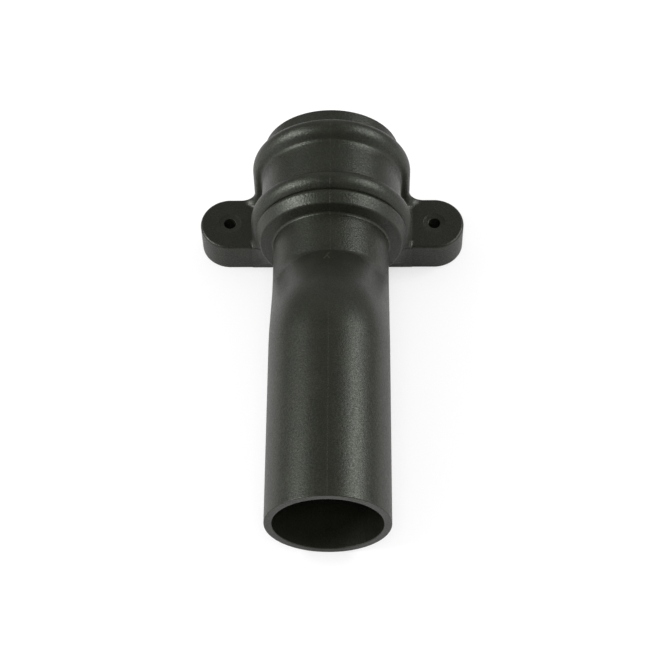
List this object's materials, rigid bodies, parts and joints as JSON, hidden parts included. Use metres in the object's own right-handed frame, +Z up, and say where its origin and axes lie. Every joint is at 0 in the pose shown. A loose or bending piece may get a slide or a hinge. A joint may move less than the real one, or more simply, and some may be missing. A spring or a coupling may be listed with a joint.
{
  "type": "rainwater pipe plinth offset",
  "caption": "Eared plinth offset for round rainwater pipe: beaded socket, shallow double bend and straight spigot in one moulding.",
  "frame": {"origin": "on the wall plane, midway between the centres of the two fixing screw holes", "axes": "+Y into the wall, -Y towards the room and the offset spigot, +Z up along the pipe towards the socket, X across the ears, and the part is symmetric about X = 0"},
  "size_m": [0.1628, 0.112, 0.2691],
  "materials": {
    "black_plastic": "fine-grained satin black plastic, cast-iron effect"
  },
  "bodies": {
    "root": {"plinth_offset": "black_plastic"}
  },
  "joints": []
}
